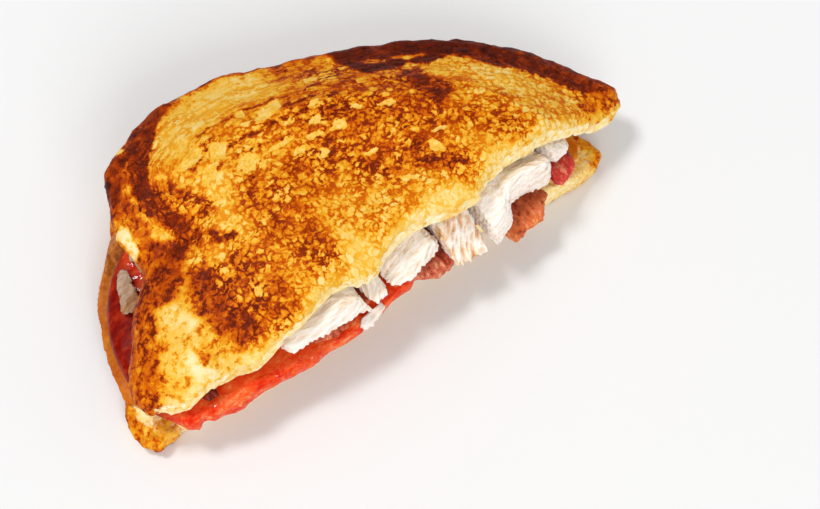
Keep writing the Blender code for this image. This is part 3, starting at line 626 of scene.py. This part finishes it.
for number, (node, (direction, groove, stain, shade_in_notch)) in enumerate(BREAST.items()):
    direction = np.array(direction) / np.linalg.norm(direction)
    breast = soft_copy(node, "breast_" + node[8:], 0.32, 2)
    points, outward = points_of(breast), outward_of(breast)
    drawn = along_fibres(points + 0.8 * lumps(points, 5.0, 40.0 + number)[:, None], direction, 9.0)
    strands = creases(drawn, 1.5, 50.0 + number)
    push = (strands - 0.7) * groove + 0.3 * lumps(points, 4.0, 60.0 + number)
    under = smoothstep(-outward[:, 1] - outward[:, 2], 0.2, 1.1)
    push += 0.7 * lumps(points, (0.9, 0.9, 2.4), 80.0 + number) * under
    facing_along = outward @ direction
    strand_ends = 0.45 * lumps(drawn, 0.8, 70.0 + number) * smoothstep(np.abs(facing_along), 0.3, 0.8)
    frayed = np.outer(strand_ends * np.sign(facing_along), direction)
    reshape(breast, points + outward * push[:, None] + frayed)
    mark(breast, "grooves", strands)
    mark(breast, "fibres", drawn)
    start, surface = new_finish(breast, node + "_meat", 0.48, 0.35)
    place, fibre = start.place(), start.marked("fibres", 1)
    grooves = start.marked("grooves")
    threads = fibre.cloud(0.5, 3.0, 0.6)
    stained = (place.cloud(5.0, 3.0) + (0.6 - grooves) * 0.3 + (stain - 0.5) * 0.6).rise(0.42, 0.8)
    # Lighter on the fibres, darker in the grooves between them: the fibres' own tone, with painted shade in
    # the grooves.
    shade = threads * 0.6 + grooves * 0.4
    white = shade.colours(*with_notch_shade(WHITE_MEAT, shade_in_notch))
    tan = shade.colours(*with_notch_shade(TAN_MEAT, shade_in_notch))
    stained.between(white, tan).feeds(surface, "Base Color")
    (threads * 0.7 + grooves * 0.5).bump(0.3, 0.7).feeds(surface, "Normal")
    surface.inputs["Subsurface Weight"].default_value = 0.3
    surface.inputs["Subsurface Radius"].default_value = (1.0, 0.6, 0.4)
    surface.inputs["Subsurface Scale"].default_value = 1.5 * MM
    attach(breast, "root")
    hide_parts(node)


# ---- Upper slice of bread ----------------------------------------------------------------------------
# The slice on show, fried in butter until it browned unevenly: deep brown where the crust and the folds
# pressed on the pan, golden where the crumb's cells stayed clear of it, and unbrowned along the cut.

SCORCHES = [  # line on the face, half its width, how soft its edge is, its browning
    ([(-30, 26), (-24, 28), (-14, 30), (-4, 29), (6, 24)], 4.0, 5.0, 0.23),
    ([(-29, 8), (-30, 2), (-31, -5)], 3.4, 4.0, 0.24),
    ([(-40, -9), (-37, -13)], 2.6, 1.8, 0.26),
    ([(-16, -30), (-11, -29), (-15, -24)], 3.0, 3.5, 0.20),
    ([(12, -30), (18, -31)], 3.0, 3.5, 0.18),
    ([(48, -5), (51, -9), (53, -14)], 2.4, 3.5, 0.12),
    ([(54, -18), (59, -23), (63, -27)], 3.0, 3.5, 0.32),
    ([(66, -24), (70, -25), (75, -24)], 2.6, 2.4, 0.56),
    ([(-58, -15), (-58, -20), (-62, -24)], 3.2, 2.5, 0.28),
    ([(3, 13), (11, 6), (18, -1), (24, -6)], 5.0, 7.0, 0.54),
    ([(-23, -3), (-16, -5), (-7, -4)], 4.0, 7.0, 0.50),
    ([(-25, -11), (-18, -12)], 3.0, 6.0, 0.50),
    ([(1, 1), (5, -6), (9, -14)], 4.0, 6.0, 0.52),
    ([(17, -15), (20, -19), (23, -23)], 2.0, 4.0, 0.60),
    ([(33, -13), (37, -18), (42, -23)], 2.5, 4.5, 0.48),
    ([(-36, -14), (-35, -21), (-36, -28)], 3.5, 4.5, 0.54),
    ([(-21, -18), (-19, -24)], 3.0, 5.0, 0.50),
    ([(7, 30), (15, 20), (23, 9), (35, 0)], 4.0, 6.0, 0.52),
    ([(38, 3), (46, -4), (54, -14)], 2.0, 5.0, 0.27),
    ([(-42, 15), (-40, 10), (-37, 5)], 3.0, 2.5, 0.56),
    ([(-59, -2), (-63, -9), (-67, -16), (-70, -21), (-73, -26)], 1.8, 2.8, 0.66),
    ([(-57, -12), (-57, -15), (-55, -18)], 0.7, 2.4, 0.12),
    ([(-61, -25), (-60, -28), (-58, -30)], 1.2, 2.2, 0.06),
    ([(-48, 27), (-52, 22), (-53, 15), (-51, 9)], 4.0, 2.5, 0.62),
    ([(-46, 31), (-47, 27), (-45, 25)], 0.8, 1.6, 0.74),
    ([(-51, 24), (-52, 20), (-50, 19)], 0.6, 1.6, 0.74),
    ([(-48, 23), (-47, 22)], 0.8, 1.4, 0.42),
    ([(-53, 18), (-52, 16)], 0.7, 1.4, 0.44),
    ([(-56, -4), (-52, -2)], 4.0, 3.5, 0.78),
    ([(-47, 11), (-47, 7), (-45, 4)], 1.2, 1.6, 0.30),
    ([(-51, 6), (-49, 3), (-46, 1)], 1.8, 1.6, 0.82),
    ([(-46, -11), (-47, -17), (-48, -22), (-45, -25)], 3.2, 3.2, 0.78),
    ([(30, 5), (31, 0), (31, -4)], 2.0, 2.6, 0.80),
    ([(20, 24), (21, 19), (23, 15), (26, 13), (31, 12)], 1.4, 0.9, 0.95),
    ([(35, 11), (38, 9), (41, 8)], 1.2, 0.9, 0.93),
    ([(-44, 21), (-45, 16), (-44, 12), (-43, 8), (-42, 4), (-42, 1)], 1.5, 2.2, 0.80),
    ([(-26, 40), (-32, 36), (-37, 31), (-41, 27), (-44, 21)], 2.5, 0.9, 0.86),
    ([(-44, 1), (-40, 0), (-38, -2), (-37, -5), (-34, -6)], 0.7, 0.8, 0.78),
    ([(-25, 22), (-17, 22), (-5, 20), (8, 18)], 0.2, 0.7, 0.62),
    ([(-25, 14), (-16, 14), (-8, 13), (3, 11)], 0.2, 0.7, 0.62),
    ([(-27, 10), (-19, 11), (-13, 9), (-7, 8)], 0.2, 0.7, 0.58),
    ([(-34, 17), (-32, 14), (-27, 17), (-24, 19)], 0.2, 0.6, 0.60),
    ([(-22, 4), (-22, 3)], 0.4, 0.7, 0.66),
    ([(-24, 0.5), (-24, -0.5)], 0.5, 0.7, 0.72),
    ([(-58, -25), (-58, -27), (-56, -27)], 0.5, 1.0, 0.58),
]
RIM_CENTRE_Y = -35.0    # the turns in RIM, and the lengths of PALE_CELLS, go round (0, RIM_CENTRE_Y)
RIM = [  # turn in degrees from point B's side, how far in the browned rim reaches, its browning
    (0, 2.0, 0.5), (8, 5.0, 0.66), (12, 8.0, 0.86), (25, 9.0, 0.90), (32, 9.0, 0.92), (40, 7.4, 0.94),
    (46, 6.0, 0.96), (52, 5.8, 0.96), (60, 6.6, 0.92), (68, 6.6, 0.94), (71, 6.0, 0.94),
    (74, 1.6, 0.78), (106, 1.4, 0.78), (110, 4.0, 0.86), (132, 4.0, 0.84), (136, 2.0, 0.62),
    (147, 2.0, 0.66), (151, 2.6, 0.74), (170, 2.6, 0.68), (178, 1.6, 0.54),
]
WALL_SPOTS = [  # pale patches of the crust's edge, and a burnt crumb on it: middle, radius, browning
    (-39.4, 37.7, 1.5, 0.12), (-41.7, 34.7, 1.4, 0.14), (-50.7, 28.0, 1.7, 1.0),
    (-54.0, 14.6, 1.1, 0.08), (-54.4, 12.4, 1.3, 0.05), (-54.6, 10.2, 1.3, 0.05), (-54.6, 8.2, 1.1, 0.08),
]
PALE_CELLS = [  # middle of each big open cell, half its length round the loaf, half its width
    (-31, 18, 3.6, 2.1), (-24, 15, 3.2, 2.2), (-7, 17, 4.5, 1.9), (-13, 21, 1.6, 1.1), (-29, 11, 2.8, 1.7),
    (-20, 7, 3.4, 2.2), (-10, 7, 3.0, 1.3), (4, 12, 2.2, 1.3), (1, 8, 2.0, 1.2), (5, 3, 2.6, 1.2),
    (-2, 4, 2.0, 1.0), (-3, -1, 2.2, 1.5), (12, 5, 1.8, 1.1), (19, 1, 2.2, 1.1), (-8, 3, 1.8, 1.4),
    (7, -8, 2.2, 1.2), (21, -17, 2.0, 1.2), (25, -13, 2.4, 1.0), (9, -19, 2.0, 1.2), (-38, -22, 1.2, 0.8),
]
CUT_FACING = 0.18       # along the rounded cut the toast ends where the bread faces up by less than this
FACE_BROWNING = 0.36
BY_CUT_BROWNING = 0.16
CELL_PLAN = (3.6, 1.7)  # a dimpled cell of the face, along the crust and in from it


def crumb_cells(plan, seed):
    """How far each point lies from the border of its crumb cell, 0 at the border."""
    base = np.floor(plan)
    near, second = np.full(len(plan), 9.0), np.full(len(plan), 9.0)
    for right in (-1, 0, 1):
        for up in (-1, 0, 1):
            corner = base + (right, up)
            draw = np.sin(corner @ (12.9898, 78.233) + seed) * 43758.5453
            place = corner + 0.15 + 0.7 * np.stack([draw % 1.0, (draw * 1.37) % 1.0], 1)
            distance = np.linalg.norm(plan - place, axis=1)
            second = np.minimum(second, np.maximum(near, distance))
            near = np.minimum(near, distance)
    return second - near


bread_upper = soft_copy("bread_upper", "toast_upper", BREAD_GRAIN, 4)
points, outward, from_crust, from_cut, grain = bread_marks(bread_upper, "bread_upper")
facing_up = smoothstep(outward[:, 2], -0.25, 0.25)
wall = smoothstep(from_crust, CRUST_WALL, 1.0)
ragged = lumps(points, 2.2, 3.0) * 0.25 + lumps(points, 0.9, 5.0) * 0.15
on_cut = (smoothstep(outward[:, 2] + ragged, CUT_FACING + 0.3, CUT_FACING - 0.3)
          * smoothstep(from_cut, 7.0, 5.0) * smoothstep(from_crust, 0.5, 2.0))
raw = np.maximum(on_cut, (1.0 - facing_up) * smoothstep(from_crust, 1.5, 3.0))
edge_cells = crumb_cells(grain[:, :2] / CELL_PLAN + 0.3 * lumps(points, 3.0, 1.0)[:, None], 4.0)

heat = FACE_BROWNING + 0.07 * lumps(points, 9.0, 2.0)
heat += (BY_CUT_BROWNING - heat) * smoothstep(from_cut + 1.6 * lumps(points, 3.0, 23.0), 4.5, 0.8) * facing_up
sideways = [lumps(points, 2.6, 12.0), lumps(points, 2.6, 13.0), np.zeros(len(points))]
wobbly = points + np.stack(sideways, 1) * 1.1
for line, half_width, softness, browning in SCORCHES:
    covered = smoothstep(from_line(wobbly, line)[0], half_width + softness, half_width - softness * 0.3)
    heat += (browning - heat) * covered
turn, reach, brown = np.array(RIM).T
angle = np.degrees(np.arctan2(points[:, 1] - RIM_CENTRE_Y, points[:, 0]))
rim_reach, rim_browning = np.interp(angle, turn, reach), np.interp(angle, turn, brown)
in_from_rim = from_crust + 0.8 * lumps(points, 2.4, 21.0) + 0.5 * lumps(points, 6.0, 22.0)
off_cut = smoothstep(from_cut, 1.5, 5.0)
heat += (rim_browning - heat) * smoothstep(in_from_rim, rim_reach + 1.6, rim_reach - 0.4) * off_cut
baked_side = (1.0 - facing_up) * off_cut
side_browning = np.maximum(0.6, rim_browning - 0.06) + 0.15 * lumps(grain, (5.0, 2.0, 3.0), 8.0)
heat += (side_browning - heat) * baked_side
for x, y, radius, browning in WALL_SPOTS:
    from_spot = np.hypot(wobbly[:, 0] - x, wobbly[:, 1] - y)
    heat += (browning - heat) * smoothstep(from_spot, radius + 0.7, radius - 0.5)

ragged_plan = wobbly[:, :2] + np.stack([lumps(points, 1.5, 14.0), lumps(points, 1.5, 15.0)], 1) * 0.9
pale = np.zeros(len(points))
for x, y, half_length, half_width in PALE_CELLS:
    outwards = np.array([x, y - RIM_CENTRE_Y])
    outwards /= np.linalg.norm(outwards)
    offset = ragged_plan - (x, y)
    across_cell, along_cell = offset @ outwards, offset @ (-outwards[1], outwards[0])
    inside = np.hypot(across_cell / half_width, along_cell / half_length)
    pale = np.maximum(pale, smoothstep(inside, 1.3, 0.6))

toasted = facing_up * (1.0 - on_cut)
relief = crust_relief(points, grain) * wall
face = (0.3 * lumps(points, 6.0, 7.0) + 0.16 * lumps(points, 2.0, 8.0)
        - 0.22 * smoothstep(edge_cells, 0.1, 0.6) * (1.0 - wall) - 0.25 * pale) * toasted
torn = torn_pits(points)
push = relief + face + torn * raw
reshape(bread_upper, points + outward * push[:, None])
mark(bread_upper, "browning", np.clip(heat, 0.0, 1.0))
mark(bread_upper, "crumb", raw)
mark(bread_upper, "pale", pale * toasted)
toast_finish(bread_upper, "toasted_upper")
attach(bread_upper, "root")
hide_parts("bread_upper")
